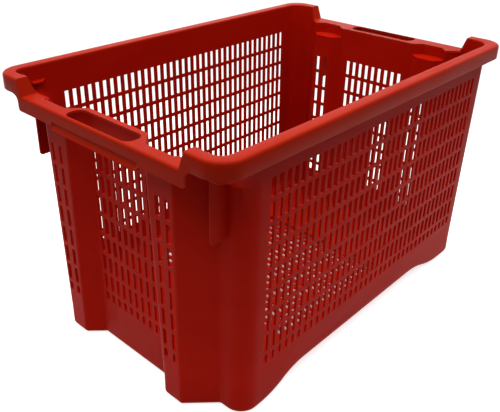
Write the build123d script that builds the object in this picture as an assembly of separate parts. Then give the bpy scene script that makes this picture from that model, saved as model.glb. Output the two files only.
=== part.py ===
from build123d import *
import math
import os

# A perforated harvest crate that stacks when turned by half a turn and nests when it is not.
# The real crate is one moulding; its regions are drawn as separate solids that meet face to face.
# Millimetres. The ground is z = 0 and the origin is under the middle of the crate.
# X runs along the length, the near end is at -X and the front long side is at -Y.

# Overall size over the rim
LENGTH = 600.0
WIDTH = 400.0
HEIGHT = 357.0

# Shell: wall thickness, and how far each wall leans out per millimetre of height
WALL = 2.8
SIDE_DRAFT = 0.016
POST_DRAFT = 0.016
PANEL_DRAFT = 0.014
RETURN_DRAFT = 0.036
SLANT_DRAFT = 0.023
HEAD_DRAFT = 1.0

# Base: the shell's upright band with its rounded lower edge, and the raised middle between the feet
BASE_RADIUS = 8.0
BASE_LAND = 2.0
BASE_STEPS = 4
FLOOR_LAND = 2.0
FLOOR_RISE = 18.5
NEAR_FOOT = 86.0
NEAR_RAMP = 84.0
FAR_FOOT = 68.0
FAR_RAMP = 105.0

# How far the outer faces of the shell stand behind the rim's outline, at the top of the base band
SIDE_SETBACK = 19.5
PANEL_SETBACK = 38.3
POST_SETBACK = 18.6
COLUMN_SETBACK = 52.2
PILASTER_SETBACK = 51.6
CORNER_SETBACK = 23.5

# Plan of the ends: place and half-widths of the posts and of the pilasters that carry them
SEAT_INSET = 83.9
POST_HALF = 14.2
PILASTER_HALF = 18.5
COLUMN_RADIUS = 25.0
CORNER_RADIUS = 24.0
COLLAR_RADIUS = 15.3
CORNER_LAND = 3.0

# Stacking seats below the rim, the slope that leads up to the near ones, the pockets above the far ones,
# and the gussets under them
NEAR_SEAT_DROP = 27.4
SEAT_SLOPE = 18.0
FAR_SEAT_DROP = 37.0
POCKET_DEPTH = 12.0
GUSSET_THICK = 3.0
GUSSET_DROP = 111.0
GUSSET_REACH = 25.5
GUSSET_RADIUS = 4.0
GUSSET_INSET = 23.4
LEDGE_DROP = 20.0
LEDGE_THICK = 2.5
LEDGE_DEPTH = 10.0
LEDGE_START = 38.0
LEDGE_LENGTH = 23.0

# Rim: an inverted L all round, lowered between the two notches of each end
RIM_WIDTH = 17.5
RIM_THICK = 3.0
RIM_SKIRT = 20.2
RIM_CORNER = 30.0
RIM_EDGE = 2.5
RIM_LAND = 13.0
END_DROP = 20.8
NOTCH_SPAN = 279.6
NOTCH_RUN = 7.6
END_SKIRT = 19.1
STEP_RADIUS = 9.0
LIP = 4.3

# Hand holes in the lowered rims, and the deeper skirt in front of them
HANDLE_LENGTH = 115.0
HANDLE_WIDTH = 25.0
GRIP = 4.0
GRIP_SKIRT = 24.0
GRIP_SPAN = 150.0
GRIP_SLOPE = 4.0

# Slots: a grid of tall narrow holes between plain bands
SLOT_WIDTH = 6.8
SLOT_HEIGHT = 24.0
SLOT_PITCH = 12.47
ROW_PITCH = 29.42
TOP_BAND = 45.1
BASE_BAND = 64.0
SLOT_LEAST = 4.0
WALL_MARGIN = 31.0
PANEL_MARGIN = 8.0
POST_PITCH = 15.5
FLOOR_MARGIN = 14.0

SIDES = {"front": -1, "back": 1}
NEAR = -1
FAR = 1

# Heights
base_top = FLOOR_RISE + BASE_RADIUS + BASE_LAND
rim_under = HEIGHT - RIM_THICK
low_top = HEIGHT - END_DROP
low_under = low_top - RIM_THICK
near_seat_top = HEIGHT - NEAR_SEAT_DROP
near_seat_under = near_seat_top - WALL
near_slope_low = near_seat_under - SEAT_SLOPE
far_seat_top = HEIGHT - FAR_SEAT_DROP
far_seat_under = far_seat_top - WALL
end_out = LENGTH / 2
side_out = WIDTH / 2


# Leaning walls. A plan point is (out, across): distance from the middle towards an end, and sideways.

def lean(angle, through, draft):
    """A wall: its plan normal, its outer face's distance at the top of the base band, and its draft."""
    normal = (math.cos(math.radians(angle)), math.sin(math.radians(angle)))
    distance = normal[0] * through[0] + normal[1] * through[1]
    return normal, distance, draft


def meet(wall, other, z, inset=0.0):
    """Plan point where two walls cross at height z, that far behind their outer faces."""
    (a, b), reach, draft = wall
    (c, d), other_reach, other_draft = other
    rise = z - base_top
    p = reach + draft * rise - inset
    q = other_reach + other_draft * rise - inset
    size = a * d - b * c
    return (p * d - q * b) / size, (a * q - c * p) / size


seat_line = side_out - SIDE_SETBACK - SEAT_INSET
post_out = end_out - POST_SETBACK
pilaster_out = end_out - PILASTER_SETBACK
side_wall = lean(90, (0, side_out - SIDE_SETBACK), SIDE_DRAFT)
panel = lean(0, (end_out - PANEL_SETBACK, 0), PANEL_DRAFT)
near_return = lean(-45, (post_out, seat_line - POST_HALF), RETURN_DRAFT)
near_post = lean(0, (post_out, 0), POST_DRAFT)
near_slant = lean(45, (post_out, seat_line + POST_HALF), SLANT_DRAFT)
near_column = lean(0, (end_out - COLUMN_SETBACK, 0), PANEL_DRAFT)
head_shift = (PANEL_DRAFT - HEAD_DRAFT) * (near_slope_low - base_top)
near_head = lean(0, (end_out - COLUMN_SETBACK + head_shift, 0), HEAD_DRAFT)
far_return = lean(45, (pilaster_out, seat_line - PILASTER_HALF), SLANT_DRAFT)
far_pilaster = lean(0, (pilaster_out, 0), PANEL_DRAFT)
far_slant = lean(-45, (pilaster_out, seat_line + PILASTER_HALF), SLANT_DRAFT)
far_corner = lean(0, (end_out - CORNER_SETBACK, 0), SLANT_DRAFT)

near_wall_end = meet(near_column, side_wall, base_top, COLUMN_RADIUS)[0] - CORNER_LAND
far_wall_end = meet(far_corner, side_wall, base_top, CORNER_RADIUS)[0] - CORNER_LAND
near_foot_open = near_wall_end
far_foot_open = pilaster_out - WALL - BASE_RADIUS - CORNER_LAND
side_base = side_out - SIDE_SETBACK
floor_half = side_base - BASE_RADIUS - FLOOR_LAND


# Solids from plan outlines. An outline is a list of stretches: two points for a line, three for an arc.

def stretches(points):
    """Straight stretches from point to point, and back to the first."""
    return [(points[i], points[(i + 1) % len(points)]) for i in range(len(points))]


def plan_face(outline, z, end, side):
    edges = []
    for stretch in outline:
        spots = [Vector(end * out, side * across, z) for out, across in stretch]
        if len(spots) == 2:
            edges.append(Edge.make_line(*spots))
        else:
            edges.append(Edge.make_three_point_arc(*spots))
    return Face(Wire(edges))


def upright(outline_at, low, high, end, side):
    """A solid between the outlines at two heights, with straight sides from one to the other."""
    return loft([plan_face(outline_at(z), z, end, side) for z in (low, high)], ruled=True)


def plate(before, wall, after):
    """Outline of a flat wall, mitred to the walls before and after it."""
    def outline_at(z):
        return stretches([
            meet(before, wall, z),
            meet(wall, after, z),
            meet(wall, after, z, WALL),
            meet(before, wall, z, WALL),
        ])
    return outline_at


def middle_plate(wall, after):
    """Outline of a flat wall that runs across the middle, mitred to the same wall at both sides."""
    def outline_at(z):
        outer = meet(wall, after, z)
        inner = meet(wall, after, z, WALL)
        return stretches([(outer[0], -outer[1]), outer, inner, (inner[0], -inner[1])])
    return outline_at


def bend(wall, z, radius, inset):
    """The arc of a rounded corner between an end wall and the long side, from the end wall on."""
    middle = meet(wall, side_wall, z, radius)
    swing = radius - inset
    turn = swing * math.sqrt(0.5)
    return (
        (middle[0] + swing, middle[1]),
        (middle[0] + turn, middle[1] + turn),
        (middle[0], middle[1] + swing),
    )


def corner_plate(before, wall, radius, wall_end):
    """Outline of an end wall that turns the rounded corner and runs along the long side to its wall."""
    def outline_at(z):
        outer = bend(wall, z, radius, 0)
        inner = bend(wall, z, radius, WALL)
        start = meet(before, wall, z)
        inner_start = meet(before, wall, z, WALL)
        finish = (wall_end, outer[2][1])
        inner_finish = (wall_end, inner[2][1])
        return [
            (start, outer[0]), outer, (outer[2], finish), (finish, inner_finish),
            (inner_finish, inner[2]), inner[::-1], (inner[0], inner_start), (inner_start, start),
        ]
    return outline_at


# Slots

def slot_rows(first):
    """Bottom and top of each row of slots from the top down; the plain base band trims the last one."""
    rows = []
    top = HEIGHT - TOP_BAND - first * ROW_PITCH
    while top > BASE_BAND + SLOT_LEAST:
        rows.append((max(top - SLOT_HEIGHT, BASE_BAND), top))
        top -= ROW_PITCH
    return rows


def slot_columns(half, pitch):
    """Places of as many slots as fit in that half-width, evenly about the middle."""
    count = int(half / pitch)
    return [pitch * i for i in range(-count, count + 1)]


def slotted(solid, wall, columns, end, side):
    """The same wall with its slots cut through along X."""
    cutters = []
    for low, high in slot_rows(1):
        out = meet(wall, side_wall, (low + high) / 2)[0]
        for column in columns:
            cutter = Box(4 * WALL, SLOT_WIDTH, high - low)
            cutters.append(Pos(end * (out - WALL / 2), side * column, (low + high) / 2) * cutter)
    return solid.cut(*cutters)


def holed(outer, holes, direction):
    """A flat sheet with many four-cornered holes, WALL thick along the given direction."""
    sheet = Face(Wire.make_polygon(outer), [Wire.make_polygon(hole) for hole in holes])
    return extrude(sheet, WALL, dir=direction)


# Floor

def ramp_edges(x_low, x_high, lift):
    """Foot-level point to raised point as two tangent arcs, in the XZ plane, lifted by that much."""
    low = Vector(x_low, 0, lift)
    high = Vector(x_high, 0, FLOOR_RISE + lift)
    half = (low + high) / 2
    way = Vector(math.copysign(1, x_high - x_low), 0, 0)
    return [Edge.make_tangent_arc(low, way, half), Edge.make_tangent_arc(high, -way, half)]


def floor_line(lift):
    """The crate's underside between the two feet's pans: flats, ramps and raised middle."""
    marks = floor_marks()
    edges = [Edge.make_line((marks[0], 0, lift), (marks[1], 0, lift))]
    edges += ramp_edges(marks[1], marks[2], lift)
    edges.append(Edge.make_line((marks[2], 0, FLOOR_RISE + lift), (marks[3], 0, FLOOR_RISE + lift)))
    edges += ramp_edges(marks[4], marks[3], lift)
    edges.append(Edge.make_line((marks[4], 0, lift), (marks[5], 0, lift)))
    return edges


def floor_marks():
    """Where the underside changes along X, from the near foot's opening to the far one's."""
    near_foot_end = -end_out + NEAR_FOOT
    far_foot_end = end_out - FAR_FOOT
    return (
        -near_foot_open, near_foot_end, near_foot_end + NEAR_RAMP,
        far_foot_end - FAR_RAMP, far_foot_end, far_foot_open,
    )


def floor_panel():
    near, far = floor_marks()[2:4]
    centre = (near + far) / 2
    columns = slot_columns((far - near) / 2 - FLOOR_MARGIN, SLOT_PITCH)
    rows = slot_columns(floor_half - SLOT_HEIGHT / 2 - FLOOR_MARGIN, ROW_PITCH)
    holes = []
    for x in columns:
        for y in rows:
            left, right = centre + x - SLOT_WIDTH / 2, centre + x + SLOT_WIDTH / 2
            low, high = y - SLOT_HEIGHT / 2, y + SLOT_HEIGHT / 2
            corners = ((left, low), (right, low), (right, high), (left, high))
            holes.append([(*corner, FLOOR_RISE) for corner in corners])
    outer = [(near, -floor_half), (far, -floor_half), (far, floor_half), (near, floor_half)]
    return holed([(*corner, FLOOR_RISE) for corner in outer], holes, (0, 0, 1))


def floor_ramp(wall_end, foot_end, raised):
    """The flat behind a foot and the S-shaped rise to the raised floor."""
    under = [Edge.make_line((wall_end, 0, 0), (foot_end, 0, 0))] + ramp_edges(foot_end, raised, 0)
    over = [Edge.make_line((wall_end, 0, WALL), (foot_end, 0, WALL))] + ramp_edges(foot_end, raised, WALL)
    ends = [
        Edge.make_line((wall_end, 0, 0), (wall_end, 0, WALL)),
        Edge.make_line((raised, 0, FLOOR_RISE), (raised, 0, FLOOR_RISE + WALL)),
    ]
    section = Face(Wire(under + over + ends))
    return extrude(section, floor_half, dir=(0, 1, 0), both=True)


def foot(end, walls, radius, mouth):
    """The pan under an end: floor and upright band in one, with a rounded lower edge."""
    def outline(inset, opening):
        half = [(opening, side_base - inset)]
        arc = bend(walls[-1], base_top, radius, inset)
        turns = [meet(walls[i], walls[i + 1], base_top, inset) for i in range(len(walls) - 1)]
        points = [arc[0]] + turns[::-1]
        run = [(half[0], arc[2]), arc[::-1]]
        run += [(points[i], points[i + 1]) for i in range(len(points) - 1)]
        mirrored = [tuple((out, -across) for out, across in stretch[::-1]) for stretch in run[::-1]]
        last = points[-1]
        bridge = [(last, (last[0], -last[1]))]
        return run + bridge + mirrored + [((opening, inset - side_base), half[0])]

    def block(inset, opening, low, edge_radius):
        """The pan's block from that height up, with its rounded edge in flat steps."""
        sections = []
        for step in range(BASE_STEPS + 1):
            angle = math.radians(90 * step / BASE_STEPS)
            shrink = edge_radius * (1 - math.sin(angle))
            height = low + edge_radius * (1 - math.cos(angle))
            sections.append(plan_face(outline(inset + shrink, opening), height, end, 1))
        sections.append(plan_face(outline(inset, opening), base_top, end, 1))
        return loft(sections, ruled=True)

    outside = block(0, mouth, 0, BASE_RADIUS)
    inside = block(WALL, mouth - WALL, WALL, BASE_RADIUS - WALL)
    return outside - inside


# Long walls

def long_wall(side):
    """A leaning slotted plate on an upright band whose rounded lower edge follows the floor."""
    marks = floor_marks()
    near, far = marks[0], marks[5]

    def band(lift, depth, edge_radius, shorten):
        """The band's block: the floor's line below, the band's top above, to that depth."""
        rise = [
            Edge.make_line((near, 0, lift), (near, 0, base_top)),
            Edge.make_line((near, 0, base_top), (far, 0, base_top)),
            Edge.make_line((far, 0, base_top), (far, 0, lift)),
        ]
        section = Face(Wire(floor_line(lift) + rise))
        section = Pos(0, side * (side_base - shorten), 0) * section
        solid = extrude(section, depth, dir=(0, -side, 0))
        outer = [edge for edge in solid.edges() if abs(edge.center().Y - side * (side_base - shorten)) < 0.01]
        upright_ends = (near, far)
        lower = [
            edge for edge in outer
            if edge.center().Z < base_top - 0.01
            and min(abs(edge.center().X - x) for x in upright_ends) > 0.01
        ]
        return fillet(lower, edge_radius)

    depth = BASE_RADIUS + FLOOR_LAND
    lower_band = band(0, depth, BASE_RADIUS, 0) - band(WALL, depth, BASE_RADIUS - WALL, WALL)

    def spot(x, z):
        return x, side * meet(near_column, side_wall, z)[1], z

    half = (near_column[1] + far_corner[1]) / 2 - WALL_MARGIN
    middle = (far_corner[1] - near_column[1]) / 2
    holes = []
    for column in slot_columns(half, SLOT_PITCH):
        left, right = middle + column - SLOT_WIDTH / 2, middle + column + SLOT_WIDTH / 2
        for low, high in slot_rows(0):
            holes.append([spot(left, low), spot(right, low), spot(right, high), spot(left, high)])
    ends = (-near_wall_end, far_wall_end)
    outer = [spot(x, base_top) for x in ends] + [spot(x, rim_under) for x in ends[::-1]]
    return lower_band + holed(outer, holes, (0, -side, 0))


# Seats, gussets and ledges

def near_seat_outline(z):
    """Shelf on top of the recessed corner column, out to the collar above it."""
    collar = bend(near_post, z, COLLAR_RADIUS, 0)
    column = bend(near_head, z, COLUMN_RADIUS, WALL)
    start = meet(near_post, near_slant, z)
    finish = (near_wall_end, collar[2][1])
    inner_finish = (near_wall_end, column[2][1])
    turn = meet(near_slant, near_head, z, WALL)
    inner_start = meet(near_post, near_slant, z, WALL)
    return [
        (start, collar[0]), collar, (collar[2], finish), (finish, inner_finish),
        (inner_finish, column[2]), column[::-1], (column[0], turn), (turn, inner_start), (inner_start, start),
    ]


def near_collar_end_outline(z):
    """Wall above the seat, from the post to the start of the rounded corner."""
    outer = bend(near_post, z, COLLAR_RADIUS, 0)[0]
    inner = bend(near_post, z, COLLAR_RADIUS, WALL)[0]
    return stretches([meet(near_post, near_slant, z), outer, inner, meet(near_post, near_slant, z, WALL)])


def near_collar_corner_outline(z):
    """Wall above the seat, round the corner and along the long side."""
    outer = bend(near_post, z, COLLAR_RADIUS, 0)
    inner = bend(near_post, z, COLLAR_RADIUS, WALL)
    finish = (near_wall_end, outer[2][1])
    inner_finish = (near_wall_end, inner[2][1])
    return [
        outer, (outer[2], finish), (finish, inner_finish),
        (inner_finish, inner[2]), inner[::-1], (inner[0], outer[0]),
    ]


pocket_foot = meet(panel, far_return, far_seat_top, WALL)
pocket_head = meet(panel, far_slant, far_seat_top, WALL)
pocket_back = pocket_foot[0] + POCKET_DEPTH + WALL
pocket_shift = WALL * math.sqrt(2)
pocket_in = lean(-45, (pocket_foot[0] + pocket_shift, pocket_foot[1]), 0)
pocket_face = lean(0, (pocket_back, 0), 0)
pocket_out = lean(45, (pocket_head[0] + pocket_shift, pocket_head[1]), 0)


def pocket_line(z, inset=0.0):
    """The pocket above a far seat: in, across the back and out to the slanted wall."""
    walls = [panel, pocket_in, pocket_face, pocket_out, far_slant]
    return [meet(walls[i], walls[i + 1], z, inset) for i in range(len(walls) - 1)]


def far_pocket_outline(z):
    return stretches(pocket_line(z) + pocket_line(z, WALL)[::-1])


def far_seat_outline(z):
    """Shelf on top of the pilaster, out to the pocket above it."""
    inner = pocket_line(z, WALL)
    pilaster = [meet(far_pilaster, far_slant, z, WALL), meet(far_return, far_pilaster, z, WALL)]
    return stretches(pocket_line(z) + inner[-1:] + pilaster + inner[:1])


def far_slant_top_outline(z):
    """The slanted wall above the seat, from the pocket to the corner post."""
    return stretches([
        meet(pocket_out, far_slant, z),
        meet(far_slant, far_corner, z),
        meet(far_slant, far_corner, z, WALL),
        meet(pocket_out, far_slant, z, WALL),
    ])


def gusset(backs, across, end, side):
    """A rib under a seat; its back edge lies on outer faces, given as (wall, height) from the seat down."""
    low = HEIGHT - GUSSET_DROP
    reach = end_out - GUSSET_REACH
    high = backs[0][1]
    swing = GUSSET_RADIUS * (1 - math.sqrt(0.5))
    spots = [(meet(wall, side_wall, z)[0], z) for wall, z in backs + [(backs[-1][0], low)]]
    spots += [
        (reach - GUSSET_RADIUS, low),
        (reach - swing, low + swing),
        (reach, low + GUSSET_RADIUS),
        (reach, high),
    ]
    points = [Vector(end * out, side * (across - GUSSET_THICK / 2), z) for out, z in spots]
    edges = [Edge.make_line(points[i], points[i + 1]) for i in range(len(points) - 4)]
    edges += [
        Edge.make_three_point_arc(*points[-4:-1]),
        Edge.make_line(points[-2], points[-1]),
        Edge.make_line(points[-1], points[0]),
    ]
    return extrude(Face(Wire(edges)), GUSSET_THICK, dir=(0, side, 0))


def near_ledge_outline(z):
    """Small shelf on the inside of the long side, cut back at an angle at its inner end."""
    start = end_out - LEDGE_START
    finish = start - LEDGE_LENGTH
    at_wall = meet(near_post, side_wall, z, WALL)[1]
    return stretches([
        (start, at_wall), (finish, at_wall),
        (finish + LEDGE_DEPTH, at_wall - LEDGE_DEPTH), (start, at_wall - LEDGE_DEPTH),
    ])


# Rim

def rim_section():
    """The inverted L: (distance in from the rim's outline, height), with a rounded outer edge."""
    turn = RIM_EDGE * (1 - math.sqrt(0.5))
    return [
        ((0, HEIGHT - RIM_SKIRT), (RIM_THICK, HEIGHT - RIM_SKIRT)),
        ((RIM_THICK, HEIGHT - RIM_SKIRT), (RIM_THICK, rim_under)),
        ((RIM_THICK, rim_under), (RIM_WIDTH, rim_under)),
        ((RIM_WIDTH, rim_under), (RIM_WIDTH, HEIGHT)),
        ((RIM_WIDTH, HEIGHT), (RIM_EDGE, HEIGHT)),
        ((RIM_EDGE, HEIGHT), (turn, HEIGHT - turn), (0, HEIGHT - RIM_EDGE)),
        ((0, HEIGHT - RIM_EDGE), (0, HEIGHT - RIM_SKIRT)),
    ]


def rim_face(place):
    """The rim's section, with each of its points put in space by place(inward, height)."""
    edges = []
    for stretch in rim_section():
        spots = [place(*point) for point in stretch]
        if len(spots) == 2:
            edges.append(Edge.make_line(*spots))
        else:
            edges.append(Edge.make_three_point_arc(*spots))
    return Face(Wire(edges))


rail_half = end_out - RIM_CORNER - RIM_LAND
end_half = side_out - RIM_CORNER - RIM_LAND


def rim_rail(side):
    section = rim_face(lambda inward, z: Vector(-rail_half, side * (side_out - inward), z))
    return extrude(section, 2 * rail_half, dir=(1, 0, 0))


def rim_corner(end, side):
    """A quarter turn with a short straight length at each end of it."""
    out = end_out - RIM_CORNER
    across = side_out - RIM_CORNER
    by_side = rim_face(lambda inward, z: Vector(end * out, side * (side_out - inward), z))
    by_end = rim_face(lambda inward, z: Vector(end * (end_out - inward), side * across, z))
    turn = revolve(by_side, Axis((end * out, side * across, 0), (0, 0, -end * side)), 90)
    return turn + extrude(by_side, RIM_LAND, dir=(-end, 0, 0)) + extrude(by_end, RIM_LAND, dir=(0, -side, 0))


notch_low = NOTCH_SPAN / 2
notch_top = notch_low + NOTCH_RUN
notch_shift = RIM_THICK * math.hypot(NOTCH_RUN, END_DROP) / END_DROP


def notch_under(z):
    """Half-width of the notch's underside at that height."""
    return notch_low + (z - low_top) * NOTCH_RUN / END_DROP + notch_shift


def cross_face(points, out, end):
    """An upright face across the crate, from (across, height) points."""
    return Face(Wire.make_polygon([(end * out, across, z) for across, z in points]))


def notched(solid, end):
    """The same wall with its top cut down under the lowered rim."""
    high = rim_under + RIM_THICK
    half = [(notch_under(low_under), low_under), (notch_under(high), high)]
    points = half + [(-across, z) for across, z in half[::-1]]
    return solid - extrude(cross_face(points, 0, end), end_out, dir=(end, 0, 0))


def rim_end(end, contour):
    """Lowered rim with its notch sides, its skirt and the hand hole; contour is its inner edge."""
    inner = contour + [(contour[-1][0], notch_low)]
    half = inner + [(end_out, notch_low)]
    points = half + [(out, -across) for out, across in half[::-1]]
    body = extrude(plan_face(stretches(points), low_under, end, 1), RIM_THICK, dir=(0, 0, 1))

    for side in SIDES.values():
        rise = [
            (end_half, HEIGHT), (notch_top, HEIGHT), (notch_low, low_top), (notch_low, low_under),
            (notch_under(low_under), low_under), (notch_under(rim_under), rim_under), (end_half, rim_under),
        ]
        cheek = cross_face([(side * across, z) for across, z in rise], end_out, end)
        body += extrude(cheek, RIM_WIDTH, dir=(-end, 0, 0))

    step = end_half - STEP_RADIUS
    step_turn = STEP_RADIUS * math.sqrt(0.5)
    skirt_low = low_top - END_SKIRT
    grip_low = low_top - GRIP_SKIRT
    grip = GRIP_SPAN / 2
    run = [
        ((notch_low, low_top), (notch_top, HEIGHT)),
        ((notch_top, HEIGHT), (end_half, HEIGHT)),
        ((end_half, HEIGHT), (end_half, HEIGHT - RIM_SKIRT)),
        (
            (end_half, HEIGHT - RIM_SKIRT),
            (end_half - step_turn, HEIGHT - RIM_SKIRT - STEP_RADIUS + step_turn),
            (step, HEIGHT - RIM_SKIRT - STEP_RADIUS),
        ),
        ((step, HEIGHT - RIM_SKIRT - STEP_RADIUS), (step, skirt_low)),
        ((step, skirt_low), (grip + GRIP_SLOPE, skirt_low)),
        ((grip + GRIP_SLOPE, skirt_low), (grip, grip_low)),
    ]
    other = [tuple((-across, z) for across, z in stretch) for stretch in run]
    joins = [((-notch_low, low_top), (notch_low, low_top)), ((-grip, grip_low), (grip, grip_low))]
    edges = []
    for stretch in run + other + joins:
        spots = [Vector(end * end_out, across, z) for across, z in stretch]
        if len(spots) == 2:
            edges.append(Edge.make_line(*spots))
        else:
            edges.append(Edge.make_three_point_arc(*spots))
    body += extrude(Face(Wire(edges)), RIM_THICK, dir=(-end, 0, 0))

    hole = RectangleRounded(HANDLE_WIDTH, HANDLE_LENGTH, HANDLE_WIDTH / 2 - RIM_EDGE)
    hole = Pos(end * (end_out - GRIP - HANDLE_WIDTH / 2), 0, low_under - RIM_THICK) * hole
    body -= extrude(hole, 3 * RIM_THICK, dir=(0, 0, 1))
    return body


# Inner edges of the lowered rims, from the middle out: they follow the walls below
overhang = meet(near_post, near_slant, low_under, WALL)
near_contour = [
    meet(panel, near_return, low_under, WALL),
    meet(near_return, near_post, low_under, WALL),
    overhang,
    (overhang[0] - LIP, overhang[1] + LIP),
]
far_contour = pocket_line(low_under, WALL) + [meet(far_slant, far_corner, low_under, WALL)]


# The whole crate, node by node
nodes = {}
marks = floor_marks()
nodes["floor_panel"] = floor_panel()
nodes["floor_ramp_near"] = floor_ramp(marks[0], marks[1], marks[2])
nodes["floor_ramp_far"] = floor_ramp(marks[5], marks[4], marks[3])
near_walls = [panel, near_return, near_post, near_slant, near_column]
far_walls = [panel, far_return, far_pilaster, far_slant, far_corner]
nodes["foot_near"] = foot(NEAR, near_walls, COLUMN_RADIUS, near_foot_open)
nodes["foot_far"] = foot(FAR, far_walls, CORNER_RADIUS, far_foot_open)

panel_half = meet(panel, near_return, base_top)[1] - PANEL_MARGIN
panel_columns = slot_columns(panel_half, SLOT_PITCH)
post_columns = [seat_line - POST_PITCH / 2, seat_line + POST_PITCH / 2]

near_panel = upright(middle_plate(panel, near_return), base_top, low_under, NEAR, 1)
nodes["near_panel"] = slotted(near_panel, panel, panel_columns, NEAR, 1)
far_panel = upright(middle_plate(panel, far_return), base_top, far_seat_under, FAR, 1)
far_panel += upright(middle_plate(panel, pocket_in), far_seat_under, low_under, FAR, 1)
nodes["far_panel"] = slotted(far_panel, panel, panel_columns, FAR, 1)

for name, side in SIDES.items():
    nodes["long_wall_" + name] = long_wall(side)

    # Near end: post, its inner return, the slanted wall behind it and the recessed corner column
    inner_return = plate(panel, near_return, near_post)
    nodes["near_return_" + name] = upright(inner_return, base_top, low_under, NEAR, side)
    post = upright(plate(near_return, near_post, near_slant), base_top, low_under, NEAR, side)
    nodes["near_post_" + name] = slotted(post, near_post, post_columns, NEAR, side)
    slant = upright(plate(near_post, near_slant, near_column), base_top, near_slope_low, NEAR, side)
    slant += upright(plate(near_post, near_slant, near_head), near_slope_low, near_seat_under, NEAR, side)
    nodes["near_slant_" + name] = slant
    column = corner_plate(near_slant, near_column, COLUMN_RADIUS, near_wall_end)
    head = corner_plate(near_slant, near_head, COLUMN_RADIUS, near_wall_end)
    column = upright(column, base_top, near_slope_low, NEAR, side)
    nodes["near_corner_" + name] = column + upright(head, near_slope_low, near_seat_under, NEAR, side)

    # Near end: the seat on the column, the collar round it, its gusset and the small ledge
    nodes["near_seat_" + name] = upright(near_seat_outline, near_seat_under, near_seat_top, NEAR, side)
    collar = upright(near_collar_end_outline, near_seat_top, rim_under, NEAR, side)
    nodes["near_collar_end_" + name] = notched(collar, NEAR)
    collar = upright(near_collar_corner_outline, near_seat_top, rim_under, NEAR, side)
    nodes["near_collar_corner_" + name] = collar
    near_gusset_line = side_base - GUSSET_INSET
    backs = [(near_head, near_seat_under), (near_column, near_slope_low)]
    nodes["near_gusset_" + name] = gusset(backs, near_gusset_line, NEAR, side)
    ledge_top = HEIGHT - LEDGE_DROP
    nodes["near_ledge_" + name] = upright(near_ledge_outline, ledge_top - LEDGE_THICK, ledge_top, NEAR, side)

    # Far end: pilaster with its return, the slanted wall and the corner post
    inner_return = plate(panel, far_return, far_pilaster)
    nodes["far_return_" + name] = upright(inner_return, base_top, far_seat_under, FAR, side)
    pilaster = upright(plate(far_return, far_pilaster, far_slant), base_top, far_seat_under, FAR, side)
    nodes["far_pilaster_" + name] = slotted(pilaster, far_pilaster, post_columns, FAR, side)
    slant = upright(plate(far_pilaster, far_slant, far_corner), base_top, far_seat_under, FAR, side)
    slant += upright(far_slant_top_outline, far_seat_under, low_under, FAR, side)
    nodes["far_slant_" + name] = slant
    corner = corner_plate(far_slant, far_corner, CORNER_RADIUS, far_wall_end)
    nodes["far_corner_" + name] = notched(upright(corner, base_top, rim_under, FAR, side), FAR)

    # Far end: the seat on the pilaster, the pocket above it and its gusset
    nodes["far_seat_" + name] = upright(far_seat_outline, far_seat_under, far_seat_top, FAR, side)
    nodes["far_pocket_" + name] = upright(far_pocket_outline, far_seat_top, low_under, FAR, side)
    nodes["far_gusset_" + name] = gusset([(far_pilaster, far_seat_under)], seat_line, FAR, side)

    nodes["rim_" + name] = rim_rail(side)
    nodes["rim_corner_near_" + name] = rim_corner(NEAR, side)
    nodes["rim_corner_far_" + name] = rim_corner(FAR, side)

nodes["rim_near"] = rim_end(NEAR, near_contour)
nodes["rim_far"] = rim_end(FAR, far_contour)

os.makedirs("parts", exist_ok=True)
for name, solid in nodes.items():
    export_step(solid, "parts/" + name + ".step")
    print(name, len(solid.solids()), round(solid.volume / 1000, 1), "cm3")
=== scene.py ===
import math
from collections import namedtuple

import bpy
import numpy as np
from mathutils import Matrix, Vector


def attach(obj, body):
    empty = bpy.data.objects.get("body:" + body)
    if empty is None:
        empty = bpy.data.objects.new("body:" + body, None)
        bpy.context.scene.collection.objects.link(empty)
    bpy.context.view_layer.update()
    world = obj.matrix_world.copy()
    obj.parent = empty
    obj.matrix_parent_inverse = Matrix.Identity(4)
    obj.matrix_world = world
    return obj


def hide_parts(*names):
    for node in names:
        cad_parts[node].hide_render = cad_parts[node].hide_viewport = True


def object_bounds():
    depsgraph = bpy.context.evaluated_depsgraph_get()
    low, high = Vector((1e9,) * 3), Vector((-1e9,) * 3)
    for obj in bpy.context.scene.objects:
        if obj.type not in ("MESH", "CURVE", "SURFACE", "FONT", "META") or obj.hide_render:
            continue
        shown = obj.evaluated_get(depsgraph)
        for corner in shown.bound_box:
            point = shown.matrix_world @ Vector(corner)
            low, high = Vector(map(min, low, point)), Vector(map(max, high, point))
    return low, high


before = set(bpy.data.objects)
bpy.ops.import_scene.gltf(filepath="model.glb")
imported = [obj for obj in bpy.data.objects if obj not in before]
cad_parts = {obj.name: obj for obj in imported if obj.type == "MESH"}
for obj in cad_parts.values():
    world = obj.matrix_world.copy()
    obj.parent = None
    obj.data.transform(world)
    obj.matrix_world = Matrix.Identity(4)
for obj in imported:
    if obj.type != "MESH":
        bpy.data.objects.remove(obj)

cad_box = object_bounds()
MM = 0.001


# Red plastic. The crate is one injection moulding in pigmented polypropylene with a satin skin:
# the pigment drifts a little along the flow, the skin has a fine grain, and the rim is rubbed smoother.

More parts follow.
